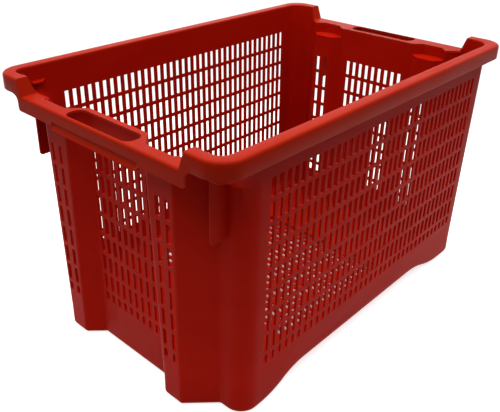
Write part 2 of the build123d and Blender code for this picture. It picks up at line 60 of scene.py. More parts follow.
def skin_group():
    """Node group: pigment drift, fine grain height and rub marks, all over Object coordinates."""
    group = bpy.data.node_groups.new("moulded_skin", "ShaderNodeTree")
    group.interface.new_socket("Grain Size", in_out="INPUT", socket_type="NodeSocketFloat")
    group.interface.new_socket("Drift", in_out="OUTPUT", socket_type="NodeSocketFloat")
    group.interface.new_socket("Grain", in_out="OUTPUT", socket_type="NodeSocketFloat")
    group.interface.new_socket("Rub", in_out="OUTPUT", socket_type="NodeSocketFloat")
    nodes = group.nodes
    link = group.links.new
    given = nodes.new("NodeGroupInput")
    result = nodes.new("NodeGroupOutput")
    where = nodes.new("ShaderNodeTexCoord")
    flow = nodes.new("ShaderNodeMapping")
    flow.inputs["Scale"].default_value = (3.0, 3.0, 9.0)
    drift = nodes.new("ShaderNodeTexNoise")
    drift.inputs["Scale"].default_value = 1.6
    drift.inputs["Detail"].default_value = 4.0
    grain = nodes.new("ShaderNodeTexNoise")
    grain.inputs["Detail"].default_value = 2.0
    streak = nodes.new("ShaderNodeMapping")
    streak.inputs["Scale"].default_value = (14.0, 90.0, 60.0)
    rub = nodes.new("ShaderNodeTexNoise")
    rub.inputs["Scale"].default_value = 1.0
    rub.inputs["Detail"].default_value = 5.0
    rub.inputs["Roughness"].default_value = 0.65
    link(where.outputs["Object"], flow.inputs["Vector"])
    link(flow.outputs["Vector"], drift.inputs["Vector"])
    link(where.outputs["Object"], grain.inputs["Vector"])
    link(given.outputs["Grain Size"], grain.inputs["Scale"])
    link(where.outputs["Object"], streak.inputs["Vector"])
    link(streak.outputs["Vector"], rub.inputs["Vector"])
    link(drift.outputs["Fac"], result.inputs["Drift"])
    link(grain.outputs["Fac"], result.inputs["Grain"])
    link(rub.outputs["Fac"], result.inputs["Rub"])
    return group


moulded_skin = skin_group()


def red_plastic(name, deep, bright, rough, grain_height):
    """Satin red polypropylene from a deep to a bright red; rough holds the least and most roughness."""
    material = bpy.data.materials.new(name)
    material.use_nodes = True
    nodes = material.node_tree.nodes
    link = material.node_tree.links.new
    shader = nodes["Principled BSDF"]
    skin = nodes.new("ShaderNodeGroup")
    skin.node_tree = moulded_skin
    skin.inputs["Grain Size"].default_value = 1400.0
    pigment = nodes.new("ShaderNodeMix")
    pigment.data_type = "RGBA"
    pigment.inputs["A"].default_value = (*deep, 1.0)
    pigment.inputs["B"].default_value = (*bright, 1.0)
    spread = nodes.new("ShaderNodeMapRange")
    spread.inputs["From Min"].default_value = 0.3
    spread.inputs["From Max"].default_value = 0.7
    gloss = nodes.new("ShaderNodeMapRange")
    gloss.inputs["From Min"].default_value = 0.3
    gloss.inputs["From Max"].default_value = 0.7
    gloss.inputs["To Min"].default_value = rough[0]
    gloss.inputs["To Max"].default_value = rough[1]
    bump = nodes.new("ShaderNodeBump")
    bump.inputs["Strength"].default_value = 0.35
    bump.inputs["Distance"].default_value = grain_height
    link(skin.outputs["Drift"], spread.inputs["Value"])
    link(spread.outputs["Result"], pigment.inputs["Factor"])
    link(pigment.outputs["Result"], shader.inputs["Base Color"])
    link(skin.outputs["Rub"], gloss.inputs["Value"])
    link(gloss.outputs["Result"], shader.inputs["Roughness"])
    link(skin.outputs["Grain"], bump.inputs["Height"])
    link(bump.outputs["Normal"], shader.inputs["Normal"])
    shader.inputs["IOR"].default_value = 1.49
    shader.inputs["Specular IOR Level"].default_value = 0.03
    return material


# The walls have the plastic's own reds. The rim is the same plastic, but its reds carry more green and blue:
# a painted sheen for the light that its upward faces catch.
WALL_REDS = (0.43, 0.007, 0.001), (0.50, 0.010, 0.002)
RIM_SHEEN_REDS = (0.43, 0.016, 0.003), (0.49, 0.022, 0.005)
wall_plastic = red_plastic("wall_plastic", *WALL_REDS, (0.34, 0.46), 0.05 * MM)
sheen_rim_plastic = red_plastic("sheen_rim_plastic", *RIM_SHEEN_REDS, (0.28, 0.44), 0.04 * MM)


def dress(piece, material, *nodes):
    """Gives a finished piece its plastic, its body and the regions of the moulding that it stands for."""
    piece.data.materials.clear()
    piece.data.materials.append(material)
    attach(piece, "root")
    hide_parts(*nodes)


# Long sides. Each is a leaning wall full of tall narrow slots over a plain band, and its rounded
# lower edge follows the floor, which is raised between the two feet.

HEIGHT = cad_box[1].z
END = cad_box[1].x
SIDE = cad_box[1].y
WALL = 2.8 * MM
RIM_THICK = 3.0 * MM
FLOOR_RISE = 18.5 * MM
BASE_RADIUS = 8.0 * MM
BASE_LAND = 2.0 * MM
BASE_STEPS = 5
NEAR_FOOT = 86.0 * MM
NEAR_RAMP = 84.0 * MM
FAR_FOOT = 68.0 * MM
FAR_RAMP = 105.0 * MM
NEAR_SEAT_DROP = 27.4 * MM
SEAT_SLOPE = 18.0 * MM
SLOT_WIDTH = 6.8 * MM
SLOT_HEIGHT = 24.0 * MM
SLOT_PITCH = 12.47 * MM
SLOT_EDGE = 0.5 * MM
ROW_PITCH = 29.42 * MM
TOP_BAND = 45.1 * MM
BASE_BAND = 64.0 * MM
COLUMNS = 37
ROWS = 9
COLUMN_RADIUS = 25.0 * MM
CORNER_RADIUS = 24.0 * MM
CORNER_LAND = 3.0 * MM
NEAR, FAR = -1, 1
FRONT, BACK = -1, 1
SIDES = {"front": FRONT, "back": BACK}
SEAM = 0.01 * MM
base_top = FLOOR_RISE + BASE_RADIUS + BASE_LAND
rim_under = HEIGHT - RIM_THICK
near_seat = HEIGHT - NEAR_SEAT_DROP - WALL
slope_low = near_seat - SEAT_SLOPE


def lean(angle, distance, draft, slope=0.0):
    """A leaning wall: its plan normal's angle, its outer face's distance at the base band, its draft, and
    how far it slopes out at the top, under a near seat."""
    return math.radians(angle), distance, draft, slope


def slanted(angle, out, across, draft):
    """A leaning wall through a plan point at the base band."""
    turn = math.radians(angle)
    return lean(angle, out * math.cos(turn) + across * math.sin(turn), draft)


def reach(wall, z):
    """Distance of a wall's outer face at that height: upright up to the base band, then leaning, and at
    45 degrees along its slope, if it has one."""
    sloped = min(max(z - slope_low, 0.0), wall[3])
    return wall[1] + wall[2] * max(z - base_top, 0.0) + sloped


def meet(wall, other, z, inset=0.0):
    """Plan point (out, across) where two walls cross at height z, that far behind their outer faces."""
    a, b = math.cos(wall[0]), math.sin(wall[0])
    c, d = math.cos(other[0]), math.sin(other[0])
    p = reach(wall, z) - inset
    q = reach(other, z) - inset
    size = a * d - b * c
    return (p * d - q * b) / size, (a * q - c * p) / size


side_wall = lean(90, 180.5 * MM, 0.016)
near_column = lean(0, 247.8 * MM, 0.014, SEAT_SLOPE)
far_corner = lean(0, 276.5 * MM, 0.023)
near_seam = near_column[1] - COLUMN_RADIUS - CORNER_LAND
far_seam = far_corner[1] - CORNER_RADIUS - CORNER_LAND
floor_half = side_wall[1] - BASE_RADIUS - BASE_LAND


def ramp_height(along, run):
    """Height of an S-shaped rise made of two arcs, at that distance along it."""
    radius = (run ** 2 + FLOOR_RISE ** 2) / (4 * FLOOR_RISE)
    if along <= run / 2:
        return radius - math.sqrt(radius ** 2 - along ** 2)
    return FLOOR_RISE - radius + math.sqrt(radius ** 2 - (run - along) ** 2)


def floor_height(x):
    """Height of the crate's underside along its length."""
    from_near = min(max(x + END - NEAR_FOOT, 0.0), NEAR_RAMP)
    from_far = min(max(END - FAR_FOOT - x, 0.0), FAR_RAMP)
    return min(ramp_height(from_near, NEAR_RAMP), ramp_height(from_far, FAR_RAMP))


def slot_rows(first):
    """Bottom and top of each row of slots, from the lowest up; the base band trims the lowest."""
    tops = [HEIGHT - TOP_BAND - row * ROW_PITCH for row in range(ROWS - 1, first - 1, -1)]
    return [(max(top - SLOT_HEIGHT, BASE_BAND), top) for top in tops]


def sheet(name, stations, levels, place, opened):
    """A grid with a corner for each station and level, each put in its place, without the opened cells."""
    across, up = len(stations) - 1, len(levels) - 1
    bpy.ops.object.select_all(action="DESELECT")
    bpy.ops.mesh.primitive_grid_add(x_subdivisions=across, y_subdivisions=up, size=2)
    piece = bpy.context.object
    piece.name = piece.data.name = name
    spots = [vertex.co for vertex in piece.data.vertices]
    corners = [(round((spot.x + 1) / 2 * across), round((spot.y + 1) / 2 * up)) for spot in spots]
    bpy.ops.object.mode_set(mode="EDIT")
    bpy.ops.mesh.select_mode(type="FACE")
    bpy.ops.mesh.select_all(action="DESELECT")
    bpy.ops.object.mode_set(mode="OBJECT")
    for face in piece.data.polygons:
        cell = (min(corners[v][0] for v in face.vertices), min(corners[v][1] for v in face.vertices))
        face.select = opened(*cell)
    for vertex, (i, j) in zip(piece.data.vertices, corners):
        vertex.co = place(stations[i], levels[j])
    bpy.ops.object.mode_set(mode="EDIT")
    bpy.ops.mesh.delete(type="FACE")
    bpy.ops.mesh.select_all(action="SELECT")
    bpy.ops.mesh.remove_doubles(threshold=SEAM)
    bpy.ops.object.mode_set(mode="OBJECT")
    return piece


def thicken(piece, thickness):
    """Gives a sheet its wall, behind the face that was drawn."""
    wall = piece.modifiers.new("wall", "SOLIDIFY")
    wall.thickness = thickness
    wall.offset = -1.0
    wall.use_even_offset = True
    wall.use_quality_normals = True
    bpy.ops.object.modifier_apply(modifier=wall.name)


def round_edges(piece, width, steps, is_seam, sharpness=38):
    """Rounds a piece's sharp edges, except where it runs on into its neighbour."""
    bpy.ops.object.mode_set(mode="EDIT")
    bpy.ops.mesh.select_mode(type="EDGE")
    bpy.ops.mesh.select_all(action="DESELECT")
    bpy.ops.mesh.edges_select_sharp(sharpness=math.radians(sharpness))
    bpy.ops.object.mode_set(mode="OBJECT")
    spots = piece.data.vertices
    for edge in piece.data.edges:
        if edge.select and is_seam(*[spots[v].co for v in edge.vertices]):
            edge.select = False
    bpy.ops.object.mode_set(mode="EDIT")
    bpy.ops.mesh.bevel(offset=width, offset_type="OFFSET", segments=steps, clamp_overlap=True)
    bpy.ops.object.mode_set(mode="OBJECT")
    bpy.ops.object.shade_smooth_by_angle(angle=math.radians(40))
    even = piece.modifiers.new("even", "WEIGHTED_NORMAL")
    even.keep_sharp = True
    bpy.ops.object.modifier_apply(modifier=even.name)


base_rounding = [(0.0, BASE_RADIUS + BASE_LAND)]
for step in range(BASE_STEPS + 1):
    turn = math.radians(90 * step / BASE_STEPS)
    base_rounding.append((BASE_RADIUS * (1 - math.cos(turn)), BASE_RADIUS * (1 - math.sin(turn))))

side_middle = (far_corner[1] - near_column[1]) / 2
side_stations = [-near_seam]
for column in range(COLUMNS):
    centre = side_middle + (column - (COLUMNS - 1) / 2) * SLOT_PITCH
    side_stations += [centre - SLOT_WIDTH / 2, centre + SLOT_WIDTH / 2]
side_stations.append(far_seam)
side_levels = base_rounding + [(base_top, 0.0)]
for row in slot_rows(0):
    side_levels += [(z, 0.0) for z in row]
side_levels.append((rim_under, 0.0))
first_row = len(base_rounding) + 1


def side_place(side):
    """Puts a corner of a long side in its place; the lower rounding rides on the floor's line."""
    def place(x, level):
        z, inset = level
        if z < base_top:
            z += floor_height(x)
        return Vector((x, side * (reach(side_wall, z) - inset), z))
    return place


def is_side_slot(i, j):
    row = j - first_row
    return i % 2 == 1 and row % 2 == 0 and 0 <= row < 2 * ROWS


def on_side_seam(a, b):
    at_end = any(abs(a.x - x) < SEAM and abs(b.x - x) < SEAM for x in (-near_seam, far_seam))
    at_top = min(a.z, b.z) > rim_under - WALL
    at_floor = max(abs(a.y), abs(b.y)) < floor_half + BASE_LAND
    return at_end or at_top or at_floor


for name, side in SIDES.items():
    stations = side_stations if side == FRONT else side_stations[::-1]
    piece = sheet("long_side_" + name, stations, side_levels, side_place(side), is_side_slot)
    thicken(piece, WALL)
    round_edges(piece, SLOT_EDGE, 2, on_side_seam)
    dress(piece, wall_plastic, "long_wall_" + name)


# Near end. A slotted panel set back between two posts, a slanted wall behind each post and a round
# column at each corner, all in one bent sheet whose lower edge rolls under into the near foot.

END_DROP = 20.8 * MM
NOTCH_LOW = 139.8 * MM
NOTCH_HIGH = 147.4 * MM
PANEL_COLUMNS = 9
POST_PITCH = 15.5 * MM
POST_ROUNDING = 6.5 * MM
SLANT_ROUNDING = 5.0 * MM
LEAST_ROUNDING = 0.3 * MM
TURN_GAP = 0.4 * MM
FOOT_DRAW = 0.18
low_top = HEIGHT - END_DROP
low_under = low_top - RIM_THICK
seat_line = 96.6 * MM
panel = lean(0, 261.7 * MM, 0.014)
near_return = slanted(-45, 281.4 * MM, 82.4 * MM, 0.036)
near_post = lean(0, 281.4 * MM, 0.016)
near_slant = slanted(45, 281.4 * MM, 110.8 * MM, 0.023)
Station = namedtuple("Station", "spot top slot")


def on_wall(wall, across, middle=None):
    """A spot on a wall square to the length; under the foot it draws in towards the wall's middle."""
    centre = across if middle is None else middle

    def place(z, inset):
        drawn = 1 - FOOT_DRAW * inset / (BASE_RADIUS + BASE_LAND)
        return reach(wall, z) - inset, centre + (across - centre) * drawn
    return place


def on_side(out):
    """A spot on the long side's line."""
    return lambda z, inset: (out, reach(side_wall, z) - inset)


def corner(wall, other):
    """The spot where two walls meet in a plain bend."""
    return lambda z, inset: meet(wall, other, z, inset)


def bend(wall, other, radius, steps):
    """Spots round a rounded bend; it stands out where the walls turn towards the long side."""
    def spot(share):
        turn = wall[0] + (other[0] - wall[0]) * share

        def place(z, inset):
            if other[0] > wall[0]:
                swing = max(radius - inset, LEAST_ROUNDING)
            else:
                swing = -radius - inset
            out, across = meet(wall, other, z, inset + swing)
            return out + swing * math.cos(turn), across + swing * math.sin(turn)
        return place
    return [spot(step / steps) for step in range(steps + 1)]


def held_back(spot, limit, gap):
    """A spot kept that far short of the bend after it."""
    def place(z, inset):
        out, across = spot(z, inset)
        return out, min(across, limit(z, inset)[1] - gap)
    return place


def slotted_run(wall, columns, top):
    """Stations on both edges of each column of slots."""
    stations = []
    middle = sum(columns) / len(columns)
    for column in columns:
        stations.append(Station(on_wall(wall, column - SLOT_WIDTH / 2, middle), top, True))
        stations.append(Station(on_wall(wall, column + SLOT_WIDTH / 2, middle), top, False))
    return stations


def plain_run(spots, top):
    return [Station(spot, top, False) for spot in spots]


def notch_under(across):
    """Underside of the end rim: low in the middle, rising through the notch's sides to the full rim."""
    run = NOTCH_HIGH - NOTCH_LOW
    foot = NOTCH_LOW + RIM_THICK * (math.hypot(run, END_DROP) - run) / END_DROP
    return float(np.interp(abs(across), [foot, foot + run], [low_under, rim_under]))


def end_place(end):
    """Puts a corner of an end's sheet in its place, no higher than the seat or rim above it."""
    def place(station, level):
        line, side = station
        z, inset = min(level[0], line.top), level[1]
        z = min(z, notch_under(line.spot(z, inset)[1]))
        out, across = line.spot(z, inset)
        return Vector((end * out, side * across, z))
    return place


def both_halves(half, end):
    """The half outline drawn from the middle outwards, mirrored, in order round the crate."""
    first, last = (BACK, FRONT) if end == NEAR else (FRONT, BACK)
    mirrored = []
    for i, station in enumerate(half):
        slot = half[i - 1].slot if i else True
        mirrored.append((Station(station.spot, station.top, slot), first))
    return mirrored[::-1] + [(station, last) for station in half]


def end_sheet(name, half, end, levels):
    """The bent sheet of an end wall; slots open where a slotted station crosses a row."""
    stations = both_halves(half, end)
    rows = range(len(base_rounding) + 1, len(levels), 2)[:ROWS - 1]

    def opened(i, j):
        is_step = stations[i][0].spot is stations[i + 1][0].spot and stations[i][1] == stations[i + 1][1]
        return is_step or stations[i][0].slot and j in rows
    return sheet(name, stations, levels, end_place(end), opened)


def close_foot(piece, end, seam, mouth):
    """Fills the foot's flat underside out to its mouth, where the floor takes over."""
    bpy.ops.object.mode_set(mode="EDIT")
    bpy.ops.mesh.select_mode(type="VERT")
    for side in SIDES.values():
        bpy.ops.mesh.select_all(action="DESELECT")
        bpy.ops.object.mode_set(mode="OBJECT")
        spot = Vector((end * seam, side * floor_half, 0.0))
        nearest = min(piece.data.vertices, key=lambda vertex: (vertex.co - spot).length)
        nearest.select = True
        bpy.ops.object.mode_set(mode="EDIT")
        if seam - mouth > SEAM:
            bpy.ops.mesh.extrude_region_move(TRANSFORM_OT_translate={"value": (end * (mouth - seam), 0, 0)})
    bpy.ops.mesh.select_all(action="DESELECT")
    bpy.ops.object.mode_set(mode="OBJECT")
    for vertex in piece.data.vertices:
        at_mouth = abs(vertex.co.x - end * mouth) < SEAM and abs(vertex.co.y) < floor_half + SEAM
        vertex.select = vertex.co.z < SEAM and at_mouth
    bpy.ops.object.mode_set(mode="EDIT")
    bpy.ops.mesh.edge_face_add()
    bpy.ops.mesh.select_mode(type="EDGE")
    bpy.ops.mesh.select_all(action="DESELECT")
    bpy.ops.mesh.select_non_manifold(extend=False)
    bpy.ops.object.mode_set(mode="OBJECT")
    for vertex in piece.data.vertices:
        vertex.select = False
    for edge in piece.data.edges:
        edge.select = edge.select and max(piece.data.vertices[v].co.z for v in edge.vertices) < SEAM
        for v in edge.vertices:
            piece.data.vertices[v].select |= edge.select
    bpy.ops.object.mode_set(mode="EDIT")
    bpy.ops.mesh.edge_face_add()
    bpy.ops.mesh.select_mode(type="FACE")
    bpy.ops.mesh.select_all(action="DESELECT")
    bpy.ops.object.mode_set(mode="OBJECT")
    for face in piece.data.polygons:
        face.select = face.normal.z > 0.99 and face.center.z < SEAM
    bpy.ops.object.mode_set(mode="EDIT")
    bpy.ops.mesh.flip_normals()
    bpy.ops.object.mode_set(mode="OBJECT")


def end_seam(end, seam, mouth, seat):
    """Tells where an end's sheet runs on: into the long sides, the floor, the seats and the rim."""
    def is_seam(a, b):
        furthest = max(end * a.x, end * b.x)
        at_side = furthest < seam + SEAM and min(abs(a.y), abs(b.y)) > floor_half - WALL
        at_mouth = furthest < mouth + SEAM
        at_rim = min(a.z, b.z) > seat - SEAM
        under = max(a.z, b.z) < BASE_RADIUS and furthest < seam + SEAM
        return at_side or at_mouth or at_rim or under
    return is_seam


panel_columns = [column * SLOT_PITCH for column in range(PANEL_COLUMNS // 2 + 1)]
post_columns = [seat_line - POST_PITCH / 2, seat_line + POST_PITCH / 2]
end_levels = base_rounding + [(base_top, 0.0)]
for row in slot_rows(1):
    end_levels += [(z, 0.0) for z in row]
end_levels += [(z, 0.0) for z in (slope_low, near_seat, low_under, rim_under)]

post_turn = bend(near_post, near_slant, POST_ROUNDING, 6)
column_turn = bend(near_column, side_wall, COLUMN_RADIUS, 10)
panel_turn = corner(panel, near_return)
near_half = slotted_run(panel, panel_columns, low_under)[1:]
near_half[-1] = Station(held_back(near_half[-1].spot, panel_turn, TURN_GAP), low_under, False)
near_half += plain_run([panel_turn], low_under)
near_half += plain_run(bend(near_return, near_post, POST_ROUNDING, 6), low_under)
near_half += slotted_run(near_post, post_columns, low_under)
near_half += plain_run(post_turn[:1], low_under) + plain_run(post_turn, near_seat)
near_half += plain_run(bend(near_slant, near_column, SLANT_ROUNDING, 4), near_seat)
near_half += plain_run(column_turn, near_seat)
near_half += plain_run([column_turn[-1], on_side(near_seam)], rim_under)
near_end = end_sheet("near_end", near_half, NEAR, end_levels)
close_foot(near_end, NEAR, near_seam, near_seam)
thicken(near_end, WALL)
round_edges(near_end, SLOT_EDGE, 2, end_seam(NEAR, near_seam, near_seam, near_seat))
near_nodes = ["foot_near", "near_panel"]
for name in SIDES:
    near_nodes += [part + name for part in ("near_return_", "near_post_", "near_slant_", "near_corner_")]
dress(near_end, wall_plastic, *near_nodes)


# Far end. The same panel, but here the two slotted pilasters stand inwards of it, and the corners
# are wide round posts that rise to the full rim.

FAR_SEAT_DROP = 37.0 * MM
POCKET_DEPTH = 12.0 * MM
POCKET_GAP = 0.5 * MM
RETURN_ROUNDING = 3.0 * MM
PILASTER_ROUNDING = 4.0 * MM
far_return = slanted(45, 248.4 * MM, 78.1 * MM, 0.023)
far_pilaster = lean(0, 248.4 * MM, 0.014)
far_slant = slanted(-45, 248.4 * MM, 115.1 * MM, 0.023)
far_mouth = far_pilaster[1] - WALL - BASE_RADIUS - CORNER_LAND
far_seat_top = HEIGHT - FAR_SEAT_DROP
far_seat = far_seat_top - WALL
pocket_foot = meet(panel, far_return, far_seat_top, WALL)
pocket_head = meet(panel, far_slant, far_seat_top, WALL)
pocket_shift = WALL * math.sqrt(2)
pocket_in = slanted(-45, pocket_foot[0] + pocket_shift, pocket_foot[1], 0.0)
pocket_face = lean(0, pocket_foot[0] + POCKET_DEPTH + WALL, 0.0)
pocket_out = slanted(45, pocket_head[0] + pocket_shift, pocket_head[1], 0.0)


def between(spot, other, share):
    """A spot part of the way from one spot to another."""
    def place(z, inset):
        (out, across), (other_out, other_across) = spot(z, inset), other(z, inset)
        return out + (other_out - out) * share, across + (other_across - across) * share
    return place


return_turn = bend(panel, far_return, RETURN_ROUNDING, 4)
pocket_turn = bend(panel, pocket_in, RETURN_ROUNDING, 3)
pocket_start = held_back(pocket_turn[0], return_turn[0], POCKET_GAP)
pocket_end = corner(pocket_out, far_slant)
pocket_lap = corner(lean(45, pocket_out[1] - WALL, 0.0), far_slant)
slant_turn = bend(far_slant, far_corner, SLANT_ROUNDING, 4)
corner_turn = bend(far_corner, side_wall, CORNER_RADIUS, 10)
far_half = slotted_run(panel, panel_columns, low_under)[1:]
far_half += plain_run([pocket_start], low_under) + plain_run([pocket_start] + return_turn, far_seat)
far_half += plain_run(bend(far_return, far_pilaster, PILASTER_ROUNDING, 4), far_seat)
far_half += slotted_run(far_pilaster, post_columns, far_seat)
far_half += plain_run(bend(far_pilaster, far_slant, PILASTER_ROUNDING, 4), far_seat)
far_half += plain_run([pocket_lap], far_seat) + plain_run([pocket_lap], low_under)
far_half += plain_run(slant_turn, rim_under)
far_half += plain_run([between(slant_turn[-1], corner_turn[0], share) for share in (0.19, 0.38)], rim_under)
far_half += plain_run(corner_turn + [on_side(far_seam)], rim_under)
far_levels = end_levels[:-4] + [(z, 0.0) for z in (far_seat, low_under, rim_under)]
far_end = end_sheet("far_end", far_half, FAR, far_levels)
close_foot(far_end, FAR, far_seam, far_mouth)
thicken(far_end, WALL)
round_edges(far_end, SLOT_EDGE, 2, end_seam(FAR, far_seam, far_mouth, far_seat))
far_nodes = ["foot_far", "far_panel"]
for name in SIDES:
    far_nodes += [part + name for part in ("far_return_", "far_pilaster_", "far_slant_", "far_corner_")]
dress(far_end, wall_plastic, *far_nodes)


# Floor. It rises from both feet in an S to a raised flat that is slotted like the walls, so that
# the crate stands on its two ends only.

FLOOR_COLUMNS = 19
FLOOR_ROWS = 9
RAMP_STEPS = 14
near_foot_end = -END + NEAR_FOOT
far_foot_end = END - FAR_FOOT
floor_stations = [-near_seam]
floor_stations += [near_foot_end + NEAR_RAMP * step / RAMP_STEPS for step in range(RAMP_STEPS + 1)]
floor_middle = (near_foot_end + NEAR_RAMP + far_foot_end - FAR_RAMP) / 2
first_column = len(floor_stations)
for column in range(FLOOR_COLUMNS):
    centre = floor_middle + (column - (FLOOR_COLUMNS - 1) / 2) * SLOT_PITCH
    floor_stations += [centre - SLOT_WIDTH / 2, centre + SLOT_WIDTH / 2]
floor_stations += [far_foot_end - FAR_RAMP * (1 - step / RAMP_STEPS) for step in range(RAMP_STEPS + 1)]
floor_stations.append(far_mouth)
floor_levels = [floor_half]
for row in range(FLOOR_ROWS):
    centre = ((FLOOR_ROWS - 1) / 2 - row) * ROW_PITCH
    floor_levels += [centre + SLOT_HEIGHT / 2, centre - SLOT_HEIGHT / 2]
floor_levels.append(-floor_half)


def floor_place(x, y):
    return Vector((x, y, floor_height(x)))


def is_floor_slot(i, j):
    column = i - first_column
    return column % 2 == 0 and 0 <= column < 2 * FLOOR_COLUMNS and j % 2 == 1


def on_floor_seam(a, b):
    at_side = min(abs(a.y), abs(b.y)) > floor_half - SEAM
    at_foot = max(a.x, b.x) < -near_seam + SEAM or min(a.x, b.x) > far_mouth - SEAM
    return at_side or at_foot


floor = sheet("floor", floor_stations, floor_levels, floor_place, is_floor_slot)
thicken(floor, WALL)
round_edges(floor, SLOT_EDGE, 2, on_floor_seam)
dress(floor, wall_plastic, "floor_panel", "floor_ramp_near", "floor_ramp_far")


# Near seats. Under the near corners the wall slopes out over each column and ends in a shelf, where a
# crate stacked on top stands, and a round collar rises from the shelf's edge to the rim.

COLLAR_RADIUS = 15.3 * MM
SEAT_ROUNDING = 2.5 * MM
SEAT_EDGE = 0.6 * MM
SEAT_LAP = 4.0 * MM
Ledge = namedtuple("Ledge", "edge foot")


def seat_levels(seat, tops):
    """Levels of a seat's sheet: its foot on the wall below, its rounded lower edge, its upright wall."""
    levels = [("foot", seat, 0.0)]
    for step in range(5):
        turn = math.radians(90 * step / 4)
        z = seat + SEAT_ROUNDING * (1 - math.cos(turn))
        levels.append(("round", z, SEAT_ROUNDING * (1 - math.sin(turn))))
    return levels + [("edge", z, 0.0) for z in tops]


def seat_place(seat, end, side):
    """Puts a corner of a seat in its place; the foot's line lies on the inner face of the wall below."""
    def place(ledge, level):
        part, z, inset = level
        depth = math.dist(ledge.edge(seat, 0.0), ledge.foot(seat, 0.0))
        share = min(depth / (2 * SEAT_ROUNDING), 1.0)
        if part == "foot":
            out, across = ledge.foot(z, WALL)
        elif part == "round":
            z = seat + (z - seat) * share
            out, across = ledge.edge(z, inset * share)
        else:
            z = min(z, notch_under(ledge.edge(z, inset)[1]))
            out, across = ledge.edge(z, inset)
        return Vector((end * out, side * across, z))
    return place


def seat_seam(ledges, seat, end, side):
    """Tells where a seat runs on: at both ends of its line, under the rim and over the wall below."""
    def is_seam(a, b):
        mid = (a + b) / 2
        ends = [ledge.edge(mid.z, WALL / 2) for ledge in (ledges[0], ledges[-1])]
        at_ends = any(math.dist((end * mid.x, side * mid.y), spot) < SEAT_LAP for spot in ends)
        at_top = min(a.z, b.z) > notch_under(mid.y) - WALL
        at_foot = max(a.z, b.z) < seat + SEAM
        return at_ends or at_top or at_foot
    return is_seam


def is_closed(i, j):
    return False


collar_spots = post_turn[:1] + [on_wall(near_post, across * MM) for across in (130.0, 142.0, 145.0, 149.6)]
collar_spots += bend(near_post, side_wall, COLLAR_RADIUS, 10)
collar_spots += [on_side(264 * MM), on_side(254 * MM), column_turn[-1]]
column_spots = [post_turn[0], post_turn[-1]] + bend(near_slant, near_column, SLANT_ROUNDING, 2)
column_spots += [column_turn[step] for step in (0, 1, 2, 2, 3, 3, 4, 4, 5, 5, 6, 7, 9, 10)]
near_ledges = [Ledge(edge, foot) for edge, foot in zip(collar_spots, column_spots)]
for name, side in SIDES.items():
    ordered = near_ledges if side == FRONT else near_ledges[::-1]
    levels = seat_levels(near_seat, [low_under, rim_under])
    piece = sheet("near_shelf_" + name, ordered, levels, seat_place(near_seat, NEAR, side), is_closed)
    thicken(piece, WALL)
    round_edges(piece, SEAT_EDGE, 2, seat_seam(near_ledges, near_seat, NEAR, side))
    seat_nodes = [part + name for part in ("near_seat_", "near_collar_end_", "near_collar_corner_")]
    dress(piece, wall_plastic, *seat_nodes)


# Far seats. Each pilaster ends in a six-sided shelf, with a pocket wall behind it that leads from the
# panel round to the corner post.

pocket_spots = [pocket_start] + pocket_turn[1:] + bend(pocket_in, pocket_face, PILASTER_ROUNDING, 4)
pocket_spots += bend(pocket_face, pocket_out, PILASTER_ROUNDING, 4) + [pocket_end]
pilaster_spots = [pocket_start] + [return_turn[step] for step in (1, 2, 4)]
pilaster_spots += bend(far_return, far_pilaster, PILASTER_ROUNDING, 4)
pilaster_spots += bend(far_pilaster, far_slant, PILASTER_ROUNDING, 4) + [pocket_end]
far_ledges = [Ledge(edge, foot) for edge, foot in zip(pocket_spots, pilaster_spots)]
for name, side in SIDES.items():
    ordered = far_ledges if side == BACK else far_ledges[::-1]
    levels = seat_levels(far_seat, [low_under])
    piece = sheet("far_shelf_" + name, ordered, levels, seat_place(far_seat, FAR, side), is_closed)
    thicken(piece, WALL)
    round_edges(piece, SEAT_EDGE, 2, seat_seam(far_ledges, far_seat, FAR, side))
    dress(piece, wall_plastic, "far_seat_" + name, "far_pocket_" + name)


# Gussets and ledges. Four thin plates brace the seats from below, and a small ledge on each long
# side stops a nested crate; all are moulded with the walls and have softly broken edges.

PLATE_EDGE = 0.5 * MM


def broken_edges(node, name, width):
    """A merged copy of a region whose shape is already right, with its edges rounded."""
    bpy.ops.object.select_all(action="DESELECT")
    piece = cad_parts[node].copy()
    piece.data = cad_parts[node].data.copy()
    piece.parent = None
    piece.name = piece.data.name = name
    bpy.context.collection.objects.link(piece)
    piece.select_set(True)
    bpy.context.view_layer.objects.active = piece
    bpy.ops.object.mode_set(mode="EDIT")
    bpy.ops.mesh.select_all(action="SELECT")
    bpy.ops.mesh.remove_doubles(threshold=SEAM)
    bpy.ops.mesh.dissolve_limited(angle_limit=math.radians(2))
    bpy.ops.mesh.normals_make_consistent(inside=False)
    bpy.ops.object.mode_set(mode="OBJECT")
    round_edges(piece, width, 2, lambda a, b: False, 50)
    return piece


for part in ("near_gusset_", "far_gusset_", "near_ledge_"):
    for name in SIDES:
        piece = broken_edges(part + name, part + "plate_" + name, PLATE_EDGE)
        dress(piece, wall_plastic, part + name)


# Long rims. An inverted L runs along each long side and round both of its corners, with a rounded
# outer edge and a flange whose inner edge is flush with the wall below.

RIM_SKIRT = 20.2 * MM
RIM_CORNER = 30.0 * MM
RIM_EDGE = 3.6 * MM
RIM_INNER = 1.8 * MM
SKIRT_ROUNDING = 1.0 * MM
CHANNEL = [(4.6, 3.0), (3.5, 3.5), (3.0, 4.6), (3.0, 19.2)]
CHANNEL += [(2.7, 19.9), (2.0, 20.2), (1.0, 20.2), (0.3, 19.9)]
END_HALF = 157.0 * MM
CORNER_STEPS = 14
RimStop = namedtuple("RimStop", "outer inner turn end")


